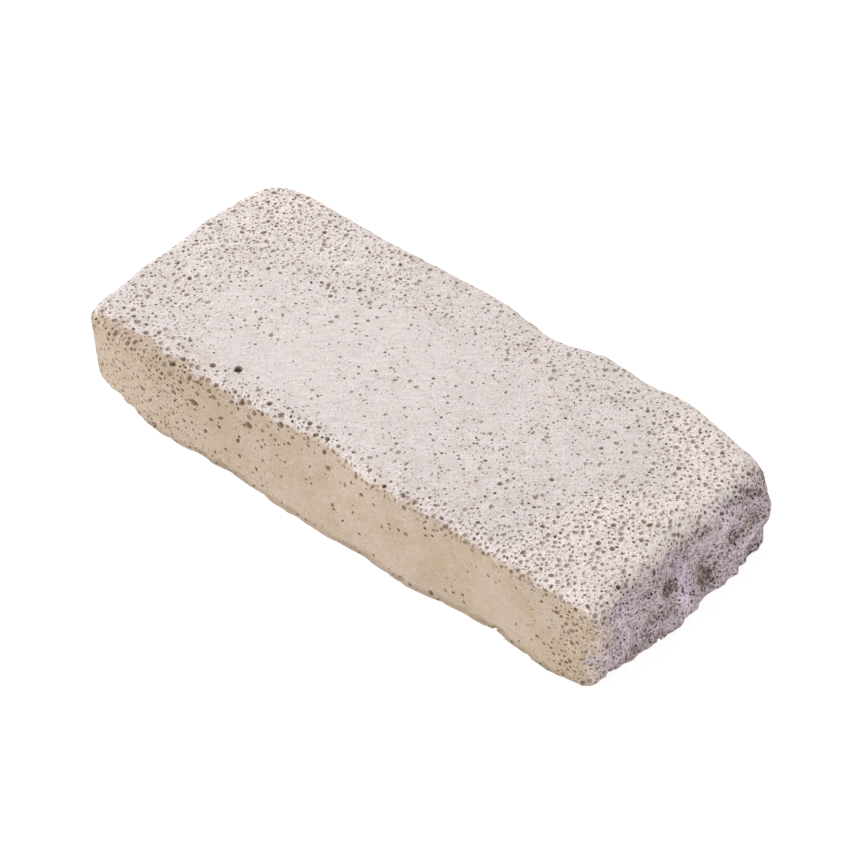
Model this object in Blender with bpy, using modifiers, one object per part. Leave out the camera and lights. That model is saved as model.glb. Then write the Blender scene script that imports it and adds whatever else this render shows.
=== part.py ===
"""Pumice stone: a flat, hand-sized slab of natural pumice.

The slab lies on its broad underside. Five sides are roughly sawn and worn, with soft edges. The end
towards +X is a fresh break across the slab, with scalloped hollows and ridges. The origin is on the
underside, in the middle of the stone's box, with +X along the length, +Y across to the back and +Z up.
"""
import math

import bmesh
import bpy
import numpy as np
from mathutils import Matrix

# Driving dimensions of the plain slab, in millimetres, before its sides are worn uneven.
LENGTH = 154.0
WIDTH = 65.0
THICKNESS = 24.3

# Radii of the four upright corners, seen from above.
CORNER_FRONT_LEFT = 5.0
CORNER_FRONT_RIGHT = 3.5
CORNER_BACK_RIGHT = 9.0
CORNER_BACK_LEFT = 7.0

# Wear radius of the top and bottom rims, from the left end to the broken end.
TOP_RIM_FRONT = (3.0, 2.4, 2.4, 2.6, 2.4, 2.6)
TOP_RIM_BACK = (3.5, 3.0, 3.0, 3.0, 3.5, 9.0)
FOOT_RIM_FRONT = (5.0, 2.2, 1.8, 1.8, 1.8, 2.5)
FOOT_RIM_BACK = (3.0, 2.0, 2.0, 2.0, 2.0, 3.0)

# How far each side stands out from the plain slab, in millimetres, at even stations along it.
# Front and back run from the left end to the broken end, the two ends from front to back.
FRONT_TOP = (0.0, 1.5, 2.0, 0.5, -1.5, -3.0, -3.5, -0.5, 0.0, -0.5, 0.5, -1.0, 0.0)
FRONT_FOOT = (-3.2, -0.4, 1.7, 1.1, 0.9, 1.6, 1.9, 1.2, 1.6, -0.2, 0.2, 0.3, -1.2)
BACK_TOP = (0.3, 1.5, 0.8, 0.6, 1.1, 1.4, 1.1, -1.9, 2.0, 0.7, 1.6, -0.8, -2.2)
BACK_FOOT = (0.0, 0.5, 0.0, 0.5, 0.0, -0.5, 0.0, 0.5, 0.5, 0.0, 0.0, -0.5, 0.0)
LEFT_TOP = (-2.3, -2.8, -1.0, -0.3, 0.7, -0.4, -1.4)
LEFT_FOOT = (0.5, 0.5, 0.5, 1.0, 1.0, 0.5, 0.0)
RIGHT_TOP = (-1.0, -3.0, -1.5, -3.5, -1.0, -1.0, -1.5)
RIGHT_FOOT = (-2.8, -2.4, 0.6, 0.2, -1.2, -0.8, 0.4)

# Scalloped scars of the broken end: place across (from front) and up, radius and depth.
SCARS = (
    (9.0, 15.0, 7.0, 1.6),
    (20.0, 8.0, 9.0, 2.2),
    (27.0, 19.0, 6.0, 2.4),
    (38.0, 11.0, 8.0, 2.6),
    (49.0, 17.0, 6.5, 1.8),
    (56.0, 7.0, 7.0, 2.0),
)

# The break reaches this far back along the slab, measured from its middle.
BREAK_STARTS = 64.0

# The cage that Subdivision Surface rounds: cells along, across and up, and how much they crowd
# towards the rims, where the stone curves most.
CELLS = (20, 9, 5)
CROWDING = 0.45
SMOOTH_LEVELS = 1

# Colour and roughness of dry pumice.
PUMICE_COLOUR = (0.68, 0.60, 0.53, 1.0)
PUMICE_ROUGHNESS = 0.95

MM = 0.001


def along(stations, place):
    """Read a smooth curve (Catmull-Rom) through evenly spaced stations, with place from 0 to 1."""
    values = np.array(stations)
    values = np.concatenate([[2 * values[0] - values[1]], values, [2 * values[-1] - values[-2]]])
    place = np.clip(place, 0.0, 1.0) * (len(stations) - 1)
    step = np.minimum(place.astype(int), len(stations) - 2)
    part = place - step
    before, start, stop, after = (values[step + k] for k in range(4))
    bend = 2 * before - 5 * start + 4 * stop - after + part * (3 * (start - stop) + after - before)
    return start + 0.5 * part * (stop - before + part * bend)


def between(low, high, share):
    """Blend from low to high as share goes from 0 to 1, easing in and out."""
    share = np.clip(share, 0.0, 1.0)
    share = share * share * (3.0 - 2.0 * share)
    return low + (high - low) * share


def round_off(points):
    """Round the box: a quarter circle of the wear radius along each rim, and round upright corners."""
    x, y, z = points.T
    to_end = LENGTH / 2 - np.abs(x)
    to_side = WIDTH / 2 - np.abs(y)
    inset = np.minimum(to_end, to_side)
    upper = z > THICKNESS / 2
    depth = np.where(upper, THICKNESS - z, z)

    # The wear radius here, read along both long sides and blended across.
    place = x / LENGTH + 0.5
    across = y / WIDTH + 0.5
    top_rim = between(along(TOP_RIM_FRONT, place), along(TOP_RIM_BACK, place), across)
    foot_rim = between(along(FOOT_RIM_FRONT, place), along(FOOT_RIM_BACK, place), across)
    rim = np.where(upper, top_rim, foot_rim)

    # Points within the radius of a rim move onto the quarter circle.
    inward = rim - inset
    downward = rim - depth
    near_rim = (inward > 0) & (downward > 0)
    shrink = np.where(near_rim, rim / np.hypot(inward, downward).clip(1e-9), 1.0)
    new_inset = np.where(near_rim, rim - inward * shrink, inset)
    new_depth = np.where(near_rim, rim - downward * shrink, depth)

    # Seen from above, points in a corner's square move onto arcs about the corner's centre.
    corner = np.where(
        x < 0,
        np.where(y < 0, CORNER_FRONT_LEFT, CORNER_BACK_LEFT),
        np.where(y < 0, CORNER_FRONT_RIGHT, CORNER_BACK_RIGHT),
    )
    arc_x = corner - to_end
    arc_y = corner - to_side
    in_corner = (arc_x > 0) & (arc_y > 0)
    reach = (corner - new_inset) / np.hypot(arc_x, arc_y).clip(1e-9)
    slide = new_inset - inset
    by_end = to_end < to_side
    from_end = np.where(in_corner, corner - arc_x * reach, to_end + np.where(by_end, slide, 0.0))
    from_side = np.where(in_corner, corner - arc_y * reach, to_side + np.where(by_end, 0.0, slide))

    x = np.copysign(LENGTH / 2 - from_end, x)
    y = np.copysign(WIDTH / 2 - from_side, y)
    z = np.where(upper, THICKNESS - new_depth, new_depth)
    return np.stack([x, y, z], axis=1)


def wear_sides(points):
    """Push each side out or in by its own outline at the foot and at the top."""
    x, y, z = points.T
    place = x / LENGTH + 0.5
    across = y / WIDTH + 0.5
    height = z / THICKNESS
    front = between(along(FRONT_FOOT, place), along(FRONT_TOP, place), height)
    back = between(along(BACK_FOOT, place), along(BACK_TOP, place), height)
    left = between(along(LEFT_FOOT, across), along(LEFT_TOP, across), height)
    right = between(along(RIGHT_FOOT, across), along(RIGHT_TOP, across), height)
    y = y - front * (1.0 - across) ** 2 + back * across**2
    x = x - left * (1.0 - place) ** 4 + right * place**4
    return np.stack([x, y, z], axis=1)


def break_end(points):
    """Hollow the broken end: each scar is a round dish, and ridges stand where two dishes meet."""
    x, y, z = points.T
    hollow = np.zeros(len(points))
    for scar_across, scar_up, radius, depth in SCARS:
        distance = np.hypot(y + WIDTH / 2 - scar_across, z - scar_up)
        hollow = np.maximum(hollow, depth * (1.0 - (distance / radius) ** 2))
    x = x - hollow * between(0.0, 1.0, (x - BREAK_STARTS) / (LENGTH / 2 - BREAK_STARTS))
    return np.stack([x, y, z], axis=1)


def crowd(share):
    """Move even stations, from -1 to 1, so that they crowd towards both ends."""
    return share + CROWDING / math.pi * np.sin(math.pi * share)


def make_cage():
    """A box primitive, cut into cells, whose points are then moved to the worn stone's shape."""
    bpy.ops.mesh.primitive_cube_add(size=2.0)
    stone = bpy.context.object
    stone.name = "pumice_stone"
    stone.data.name = "pumice_stone"

    cage = bmesh.new()
    cage.from_mesh(stone.data)
    for axis, cells in enumerate(CELLS):
        lengthwise = [
            edge for edge in cage.edges
            if abs(edge.verts[0].co[axis] - edge.verts[1].co[axis]) > 1.0
        ]
        bmesh.ops.subdivide_edges(cage, edges=lengthwise, cuts=cells - 1, use_grid_fill=True)

    box = crowd(np.array([vertex.co[:] for vertex in cage.verts]))
    box = box * np.array([LENGTH, WIDTH, THICKNESS]) / 2 + np.array([0.0, 0.0, THICKNESS / 2])
    shaped = break_end(wear_sides(round_off(box)))
    for vertex, place in zip(cage.verts, shaped * MM):
        vertex.co = place
    cage.to_mesh(stone.data)
    cage.free()
    return stone


def soften(stone):
    """Subdivide the cage into a smooth, worn surface."""
    smooth = stone.modifiers.new("worn smooth", "SUBSURF")
    smooth.levels = SMOOTH_LEVELS
    smooth.render_levels = SMOOTH_LEVELS
    stone.data.shade_smooth()


def centre(stone):
    """Shift the stone so that the origin is under the middle of its finished box."""
    finished = stone.evaluated_get(bpy.context.evaluated_depsgraph_get()).to_mesh()
    places = np.array([vertex.co[:] for vertex in finished.vertices])
    low = places.min(axis=0)
    middle = (low + places.max(axis=0)) / 2
    stone.data.transform(Matrix.Translation((-middle[0], -middle[1], -low[2])))


def pumice_material():
    """Dry, pale, matt pumice."""
    material = bpy.data.materials.new("dry pumice")
    material.use_nodes = True
    shader = material.node_tree.nodes["Principled BSDF"]
    shader.inputs["Base Color"].default_value = PUMICE_COLOUR
    shader.inputs["Roughness"].default_value = PUMICE_ROUGHNESS
    shader.inputs["Metallic"].default_value = 0.0
    material.diffuse_color = PUMICE_COLOUR
    return material


def gather(stone):
    """Keep the stone in a collection named for the object."""
    collection = bpy.data.collections.new("Pumice stone")
    bpy.context.scene.collection.children.link(collection)
    for owner in stone.users_collection:
        owner.objects.unlink(stone)
    collection.objects.link(stone)


def main():
    for leftover in list(bpy.data.objects):
        bpy.data.objects.remove(leftover)
    stone = make_cage()
    soften(stone)
    centre(stone)
    stone.data.materials.append(pumice_material())
    gather(stone)


main()
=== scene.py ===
"""Pumice stone: a flat, hand-sized slab of natural pumice, sawn on five sides and broken at one end."""
import functools
import itertools
import math

import bmesh
import bpy
import numpy as np
from bpy.props import FloatProperty, FloatVectorProperty, IntProperty, PointerProperty
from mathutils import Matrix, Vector
from mathutils.bvhtree import BVHTree


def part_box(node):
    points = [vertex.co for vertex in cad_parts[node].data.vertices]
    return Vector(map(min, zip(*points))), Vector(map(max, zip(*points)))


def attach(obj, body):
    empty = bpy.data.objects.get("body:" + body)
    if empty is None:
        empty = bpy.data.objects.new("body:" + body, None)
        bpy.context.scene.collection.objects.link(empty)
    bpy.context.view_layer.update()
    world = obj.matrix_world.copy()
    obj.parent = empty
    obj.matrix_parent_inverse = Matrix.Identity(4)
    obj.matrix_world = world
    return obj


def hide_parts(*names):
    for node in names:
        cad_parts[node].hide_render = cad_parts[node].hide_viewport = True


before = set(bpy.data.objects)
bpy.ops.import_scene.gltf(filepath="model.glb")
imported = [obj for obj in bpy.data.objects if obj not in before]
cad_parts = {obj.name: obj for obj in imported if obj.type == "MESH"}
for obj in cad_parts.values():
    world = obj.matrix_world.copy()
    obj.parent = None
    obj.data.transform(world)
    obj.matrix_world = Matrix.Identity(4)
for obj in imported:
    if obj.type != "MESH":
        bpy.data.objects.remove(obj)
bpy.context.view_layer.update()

bl_info = {
    "name": "Pumice stone",
    "version": (1, 0, 0),
    "blender": (4, 5, 0),
    "location": "View3D > Sidebar > Pumice",
    "description": "Makes a porous pumice slab and the pale floor it is shown on",
    "category": "Add Mesh",
}

NODE = "pumice_stone"
BODY = "root"
SKIN_NAME = "pumice_skin"
MM = 0.001
MOST_TRIANGLES = 196000

# The slab, in millimetres: its plain box, corner radii seen from above, and wear radii of the rims.
LENGTH = 154.0
WIDTH = 65.0
THICKNESS = 24.3
HALF = np.array([LENGTH, WIDTH, THICKNESS]) / 2
CORNER_FRONT = (5.0, 3.5)
CORNER_BACK = (7.0, 9.0)
TOP_RIM = ((3.0, 2.4, 2.4, 2.6, 2.4, 2.6), (3.5, 3.0, 3.0, 3.0, 3.5, 9.0))
FOOT_RIM = ((3.0, 1.2, 0.8, 0.8, 0.8, 1.5), (2.0, 1.0, 1.0, 1.0, 1.0, 2.0))

# How far each side stands out at its foot and at its top, at even stations along it.
FRONT_FOOT = (-3.6, -1.3, 0.6, 0.3, 0.1, 0.6, 0.8, 0.1, 0.5, -1.2, -1.4, -0.2, -0.9)
FRONT_TOP = (0.0, 1.5, 2.0, 0.5, -1.5, -3.0, -3.5, -0.5, 0.0, -0.5, 0.5, -1.0, 0.0)
BACK_FOOT = (0.0, 0.5, 0.0, 0.5, 0.0, -0.5, 0.0, 0.5, 0.5, 0.0, 0.0, -0.5, 0.0)
BACK_TOP = (0.2, 1.2, 0.6, 0.4, 0.9, 1.2, 0.7, -1.4, 1.5, 0.6, 1.2, -0.5, -2.5)
LEFT_FOOT = (0.5, 0.5, 0.5, 1.0, 1.0, 0.5, 0.0)
LEFT_TOP = (-2.9, -2.1, -1.1, -0.5, 0.5, 0.1, -1.6)
RIGHT_FOOT = (-4.4, -2.6, -0.3, -0.9, -1.3, -1.5, -1.2)
RIGHT_TOP = (-1.0, -3.0, -1.5, -3.5, -1.0, -0.5, -1.4)

# Hollows of the broken end: place across (from the front) and up, radius and depth.
SCARS = (
    (9.0, 15.0, 7.0, 1.6),
    (20.0, 8.0, 9.0, 2.2),
    (27.0, 19.0, 6.0, 2.4),
    (38.0, 11.0, 8.0, 2.6),
    (49.0, 17.0, 6.5, 1.8),
    (56.0, 7.0, 7.0, 2.0),
)
BREAK_STARTS = 64.0

# The break's finer relief: share, size in millimetres and seed of each noise.
BREAK_NOISE = ((1.0, 7.5, 13), (0.6, 3.4, 14), (0.15, 1.8, 15))

# Hollows and knobs of the break: across, up, half width, half height, and depth in millimetres.
BREAK_SCARS = (
    (-6.2, 12.6, 2.6, 1.8, 2.0),
    (-0.9, 15.8, 3.0, 1.5, 1.2),
    (-13.8, 16.5, 2.2, 1.6, 1.0),
    (6.5, 6.5, 2.2, 2.8, 1.4),
    (15.4, 11.8, 2.8, 2.0, 1.3),
    (23.1, 13.5, 2.0, 2.0, 0.8),
    (-7.0, 7.0, 2.4, 1.4, 1.0),
    (-12.3, 3.5, 1.6, 1.4, 0.8),
    (9.2, 5.6, 1.8, 1.5, 0.6),
    (16.0, 22.1, 1.6, 1.2, 0.7),
    (5.0, 21.0, 1.6, 1.2, 0.6),
    (-17.7, 22.2, 2.0, 1.6, 0.6),
    (-2.0, 10.0, 1.6, 5.0, -0.9),
    (-21.6, 14.7, 2.2, 2.6, -0.7),
    (12.0, 21.2, 1.6, 2.4, -0.9),
    (20.5, 8.6, 2.2, 2.6, -0.8),
    (25.5, 11.0, 5.0, 6.5, -2.0),
)
# Stains of the break, in the same way: lilac glass shows above 0, tan rust below.
BREAK_STAINS = (
    (-2.2, 11.0, 2.5, 3.6, 1.5),
    (-1.0, 14.2, 2.0, 2.2, 0.9),
    (-0.8, 6.4, 2.0, 2.8, 1.1),
    (-21.6, 14.7, 2.4, 3.2, 0.6),
    (-19.8, 9.2, 2.4, 3.2, 0.6),
    (11.5, 20.6, 2.4, 3.0, 1.1),
    (20.5, 8.6, 2.6, 3.0, 0.8),
    (15.5, 17.0, 2.4, 2.6, 0.6),
    (6.9, 6.4, 1.7, 2.6, -1.1),
    (19.2, 13.2, 2.4, 2.6, -0.9),
    (-12.4, 19.3, 2.0, 1.8, -0.7),
    (-11.4, 8.8, 2.0, 2.4, -0.6),
    (-4.4, 11.5, 1.2, 1.8, -0.8),
)
# Fresh glass begins beyond this place across the broken end, and below this height.
FRESH_ACROSS = -28.0
FRESH_UP = 22.5

# Where the middle of the plain slab lies from the middle of the stone's box.
CENTRING = (0.63, 0.29, 0.0)

# The skin's lattice: cells along, across and up, and how much they crowd towards the rims.
CELLS = (140, 80, 30)
CROWDING = 0.35

# Where the pale rubbed top begins, across from the middle, at even stations along the front rim.
WHITE_STARTS = (-32.0, -29.6, -30.2, -31.3, -32.3, -33.5, -33.5, -32.6, -32.0, -32.3, -32.5, -32.5, -32.5)

# The white has spilled over the front rim here: the middle and half width along it, and how far down.
SPILL_MIDDLE = -16.0
SPILL_HALF = 18.0
SPILL_FOOT = 20.8

# The froth of the top thickens from here towards the break, and later along the line of its calm middle.
FROTH_STARTS = 43.0
FROTH_LATER = 12.0
CALM_LINE = 8.0

# Pores: how far a cutter stands above the skin, the deepest chance pore, how many are tried at once, how far
# apart they keep in their own batch and in another, as a share of their radii, and the share under the skin.
LIP = 0.35
DEEPEST = 0.95
AT_ONCE = 2500
APART = (1.30, 0.92)
APART_BELOW = 0.8

# Sizes of the material's patterns, in millimetres, and the turn of the hand that rubbed the top.
CLOUD = 7.0
PATCH = 3.2
RAG = 2.5
FIBRE = 1.15
LUMP = 1.1
WARP = 0.8
STREAK = 0.5
STREAK_LENGTH = 7.0
GRIT = 0.42
RUB_TURN = math.radians(41.0)

# The map the skin is baked through, in millimetres: each side is laid flat on a square of this size, with
# a gap between them. Each row: the axis that faces out, its sign, the axes across and up the map, and the
# place of the side's middle.
MAP_SIZE = 196.0
MAP_SIDES = (
    (2, 1, 0, 1, 79.0, 36.0),
    (2, -1, 0, 1, 79.0, 107.0),
    (1, -1, 0, 2, 79.0, 143.0),
    (1, 1, 0, 2, 79.0, 169.0),
    (0, 1, 2, 1, 160.0, 36.0),
    (0, -1, 2, 1, 160.0, 107.0),
)
# How far the walls of a pore lean in on the map, so that they have a width there.
MAP_LEAN = 0.7

# Pits that stand out, one by one: across each face in millimetres, radius and depth. They are dropped
# from this far away, and those of the front are this much wider.
AWAY = 60.0
FRONT_WIDER = 1.10
TOP_PITS = (
    (-14.3, -29.4, 0.90, 0.9), (-2.2, -27.5, 0.68, 0.7), (-0.4, -29.4, 0.68, 0.7), (2.4, -31.4, 0.55, 0.6),
    (8.7, -30.4, 0.62, 0.7), (14.3, -30.6, 0.50, 0.6), (-10.7, -27.2, 0.55, 0.6), (-13.2, -26.6, 0.48, 0.6),
    (-6.6, -29.0, 0.55, 0.6), (-27.7, -29.6, 0.58, 0.7), (-31.4, -29.0, 0.52, 0.6),
    (-24.4, -28.8, 0.50, 0.6), (-32.0, -24.0, 1.15, 1.6), (-19.0, -27.8, 0.75, 1.1),
    (-18.3, -25.6, 0.45, 0.6), (-11.8, -28.3, 0.45, 0.7), (-5.5, -26.5, 0.70, 0.6), (1.3, -27.8, 0.60, 0.7),
    (8.6, -30.3, 0.65, 0.9), (17.0, -30.6, 0.60, 0.8), (22.0, -30.3, 0.65, 0.8), (26.8, -27.3, 0.50, 0.7),
    (32.7, -30.3, 0.60, 0.8), (-54.0, -28.0, 0.60, 0.8), (-64.5, -28.5, 0.50, 0.7),
    (-51.5, -26.5, 0.40, 0.6), (-40.0, -23.7, 0.40, 0.6), (-66.4, -25.6, 0.45, 0.7),
    (-58.8, -16.8, 0.50, 0.6), (-68.0, -17.1, 0.40, 0.6), (-35.0, -15.6, 0.50, 0.7),
    (-42.6, -15.2, 0.42, 0.6), (10.3, -19.3, 0.42, 0.9), (19.6, -15.1, 0.45, 0.7), (17.3, -24.2, 0.45, 0.7),
    (24.5, -18.2, 0.60, 0.4), (35.0, -25.2, 0.75, 0.5), (43.7, -15.1, 0.42, 0.7), (45.2, -15.2, 0.42, 0.7),
    (54.3, -17.6, 0.42, 0.7), (-60.3, -5.5, 0.50, 0.8), (-59.0, -10.5, 0.45, 0.7),
    (-64.0, -10.8, 0.95, 0.4), (-45.2, -12.2, 0.42, 0.7), (-39.6, -11.0, 0.38, 0.6),
    (-42.8, -7.2, 0.42, 0.7), (-37.5, -4.0, 0.45, 0.8), (-12.3, -11.0, 0.36, 0.6), (-14.8, -6.5, 0.30, 0.5),
    (-6.8, -9.8, 0.34, 0.6), (-3.6, -3.1, 0.30, 0.6), (-11.3, 1.3, 0.50, 1.0), (-17.4, -0.3, 0.45, 0.6),
    (-19.1, -2.1, 0.34, 0.5), (-24.5, 6.5, 0.55, 0.5), (-22.8, 4.4, 0.45, 0.7), (-26.4, 10.3, 0.45, 0.8),
    (-19.9, 12.7, 0.50, 0.6), (-5.5, 9.5, 0.42, 0.8), (-39.0, 6.5, 0.42, 0.6), (-41.3, 4.4, 0.70, 0.4),
    (-48.3, 6.6, 0.52, 0.8), (-45.6, 10.2, 0.75, 0.4), (-61.3, 11.3, 0.45, 0.7), (-71.0, 10.4, 0.45, 0.7),
    (-54.8, 12.6, 0.45, 0.7), (-21.2, 19.2, 0.45, 0.6), (-26.0, 22.9, 0.50, 0.8), (-13.0, 20.2, 0.42, 0.8),
    (-17.0, 22.2, 0.60, 0.5), (-15.5, 24.3, 0.60, 0.6), (-0.3, 19.3, 0.50, 0.8), (-39.3, 26.2, 0.55, 1.0),
    (-43.6, 23.7, 0.42, 0.8), (-63.0, 26.5, 0.50, 0.8), (-53.9, 22.3, 0.50, 0.5), (-70.5, 20.7, 0.45, 0.7),
    (11.0, 1.1, 0.50, 0.9), (8.6, -0.5, 0.40, 0.6), (10.1, -2.2, 0.45, 0.5), (2.5, 1.8, 0.45, 0.8),
    (17.5, 8.7, 0.50, 0.6), (9.8, 6.4, 0.42, 0.6), (23.4, -7.9, 0.42, 0.8), (6.5, -7.6, 0.34, 0.6),
    (12.4, -8.7, 0.34, 0.6), (42.7, -6.3, 0.62, 1.0), (45.0, 2.3, 0.62, 0.5), (48.6, 10.0, 0.45, 0.7),
    (38.7, 5.6, 0.38, 0.6), (35.0, 14.3, 0.36, 0.6), (31.8, 13.3, 0.36, 0.7), (29.9, 12.6, 0.36, 0.7),
    (15.5, 21.5, 0.80, 0.6), (19.6, 22.6, 0.50, 0.6), (35.2, 19.8, 0.48, 0.6), (37.5, 26.5, 0.55, 0.9),
    (38.0, 24.4, 0.40, 0.7), (24.4, 22.7, 0.32, 0.7), (50.5, -4.5, 0.42, 0.7), (54.8, -5.4, 0.42, 0.7),
    (57.0, 1.5, 0.45, 0.7), (58.5, -2.7, 0.45, 0.7), (56.0, 4.3, 0.42, 0.6), (72.8, 18.2, 0.50, 0.8),
    (70.0, 17.0, 0.45, 0.7),
)
FRONT_PITS = (
    (-38.0, 16.2, 0.95, 1.3), (-22.9, 17.1, 0.85, 0.9), (-24.3, 16.6, 0.50, 0.7), (-26.1, 11.2, 0.55, 1.0),
    (-25.4, 7.3, 0.48, 0.7), (-29.5, 7.0, 0.48, 0.7), (-35.6, 8.9, 0.62, 0.8), (-43.8, 16.5, 0.62, 0.8),
    (-33.5, 22.0, 0.60, 0.7), (-47.2, 19.0, 0.55, 0.7), (-50.4, 19.7, 0.50, 0.7), (-54.5, 11.4, 0.65, 0.9),
    (-51.7, 9.8, 0.50, 0.7), (-64.1, 20.7, 0.60, 0.8), (-57.5, 23.3, 0.60, 0.7), (-69.2, 21.4, 0.60, 0.8),
    (-41.5, 20.7, 0.55, 0.7), (-33.6, 13.5, 0.50, 0.6), (-19.1, 13.2, 0.42, 0.6), (-55.5, 6.2, 0.48, 0.7),
    (2.9, 8.7, 0.38, 0.6), (5.8, 7.3, 0.38, 0.6), (8.5, 11.2, 0.38, 0.6), (22.3, 15.2, 0.45, 0.7),
    (29.5, 21.8, 0.40, 0.6), (29.4, 19.9, 0.45, 0.7), (29.7, 18.1, 0.40, 0.6), (31.4, 18.9, 0.38, 0.6),
    (39.1, 5.8, 0.38, 0.6), (39.5, 3.8, 0.38, 0.6), (60.1, 8.4, 0.45, 0.7), (58.6, 6.2, 0.38, 0.6),
    (63.9, 7.6, 0.42, 0.6), (64.6, 6.3, 0.42, 0.6), (67.8, 5.8, 0.48, 0.8), (70.5, 13.4, 0.48, 0.7),
    (69.2, 21.9, 0.50, 0.7), (45.1, 22.6, 0.50, 0.7), (52.9, 22.6, 0.50, 0.7),
)


def linear(code):
    """Turn an sRGB hex colour into linear light."""
    parts = [int(code[k:k + 2], 16) / 255 for k in (1, 3, 5)]
    return tuple(p / 12.92 if p <= 0.04045 else ((p + 0.055) / 1.055) ** 2.4 for p in parts)


def colour(name, code, description):
    return FloatVectorProperty(
        name=name, description=description, default=linear(code), size=3, subtype="COLOR", min=0.0, max=1.0
    )


def length(name, default, description):
    return FloatProperty(name=name, description=description, default=default, min=0.0, unit="LENGTH")


def amount(name, default, description):
    return FloatProperty(name=name, description=description, default=default, min=0.0)


class PumiceSizes(bpy.types.PropertyGroup):
    """Sizes of the stone's surface and its pores."""

    froth: amount("Froth", 1.0, "How many shallow dishes, as a share of the densities given below")
    pits: amount("Pits", 0.75, "How many small dark pits, as a share of the densities given below")
    dish_radius: length("Dish", 0.00041, "Radius of a middling dish")
    pit_radius: length("Pit", 0.00029, "Radius of a middling pit")
    hole_radius: length("Hole", 0.00062, "Radius of a middling hole")
    swell: length("Swell", 0.00025, "Height of the broad swells of the worn faces")
    crumble: length("Crumble", 0.00070, "Depth of the crumbled rims")
    ridges: length("Ridges", 0.0015, "Depth of the hollows between ridges on the break")
    seed: IntProperty(name="Seed", description="Changes where the chance pores fall", default=7)


class PumiceColours(bpy.types.PropertyGroup):
    """Colours of dry pumice where it is rubbed, sawn and broken, with painted shade for its hollows, pores
    and foot and, in the cream, some painted highlight.
    """

    rubbed: colour("Rubbed", "#ebe1de", "Top, rubbed pale and dusty")
    sawn: colour("Sawn", "#cfbca7", "Sawn sides, stained sandy")
    broken: colour("Broken", "#dacad1", "Fresh break, lilac grey")
    # Pore wall and sawn pore wall are darker than the skin: partly their own warmer tone, partly painted
    # shade.
    wall: colour("Pore wall", "#decfc4", "Walls of the shallow pores")
    rust: colour("Rusty floor", "#c8a691", "Floor of the odd pore with iron in it")
    moss: colour("Olive floor", "#a59a80", "Floor of the odd pore with an olive stain")
    # Cream is partly the froth's own paler dust, partly painted highlight on the crests between bubbles.
    cream_and_highlight: colour("Cream", "#f9ede8", "Froth between the open bubbles of the top")
    # Deep pore, deep break pore and deep sawn pore are painted shade at the bottoms of deep pores; deep sawn
    # pore is also the painted shade along the foot.
    deep: colour("Deep pore", "#74665b", "Bottom of the deep pores")
    plum: colour("Deep break pore", "#5c484a", "Bottom of the deep pores of the break")
    umber: colour("Deep sawn pore", "#95816a", "Bottom of the deep pores of the sawn sides")
    clay: colour("Sawn pore wall", "#c6b198", "Walls of the shallow pores of the sawn sides")
    ochre: colour("Ochre", "#c6b195", "Ochre clouds on the sawn sides")
    blush: colour("Blush", "#d8c3b4", "Pinkish clouds on the sawn sides and along the rim")
    sand: colour("Sand", "#dcc9b8", "Sandy mottling of the porous top")
    lichen: colour("Lichen", "#d6d0c2", "Olive mottling of the porous top")
    # Broken hollow is painted shade for the hollows of the break and the floors of its pores.
    hollow: colour("Broken hollow", "#a3908f", "Hollows of the fresh break")
    lilac: colour("Lilac glass", "#f2e2f2", "Clean patches of the break")
    tan: colour("Tan break", "#cbb8a8", "Rusty patches of the break")


def along(stations, place):
    """Read a smooth curve (Catmull-Rom) through evenly spaced stations, with place from 0 to 1."""
    values = np.array(stations)
    values = np.concatenate([[2 * values[0] - values[1]], values, [2 * values[-1] - values[-2]]])
    place = np.clip(place, 0.0, 1.0) * (len(stations) - 1)
    step = np.minimum(place.astype(int), len(stations) - 2)
    part = place - step
    before, start, stop, after = (values[step + k] for k in range(4))
    bend = 2 * before - 5 * start + 4 * stop - after + part * (3 * (start - stop) + after - before)
    return start + 0.5 * part * (stop - before + part * bend)


def ease(share):
    """Smoothstep: 0 below 0, 1 above 1, and three squares less two cubes between."""
    share = np.clip(share, 0.0, 1.0)
    return share * share * (3.0 - 2.0 * share)


def between(low, high, share):
    """Blend from low to high as share goes from 0 to 1, easing in and out."""
    return low + (high - low) * ease(share)


def unit(vectors):
    return vectors / np.linalg.norm(vectors, axis=-1, keepdims=True).clip(1e-12)


def noise(points, size, seed):
    """Value noise from -1 to 1: a hashed height at each corner of cubes of this size, eased between."""
    place = points / size
    cell = np.floor(place).astype(np.int64)
    part = ease(place - cell)
    total = np.zeros(len(points))
    for corner in itertools.product((0, 1), repeat=3):
        at = cell + np.array(corner)
        mixed = (at @ np.array([374761393, 668265263, 1440662683]) + seed * 1274126177) & 0xFFFFFFFF
        mixed = ((mixed ^ (mixed >> 13)) * 1103515245) & 0xFFFFFFFF
        mixed = ((mixed ^ (mixed >> 16)) * 2246822519) & 0xFFFFFFFF
        height = (mixed ^ (mixed >> 15)) / 0x7FFFFFFF - 1.0
        total += height * np.where(corner, part, 1.0 - part).prod(axis=1)
    return total


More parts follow.
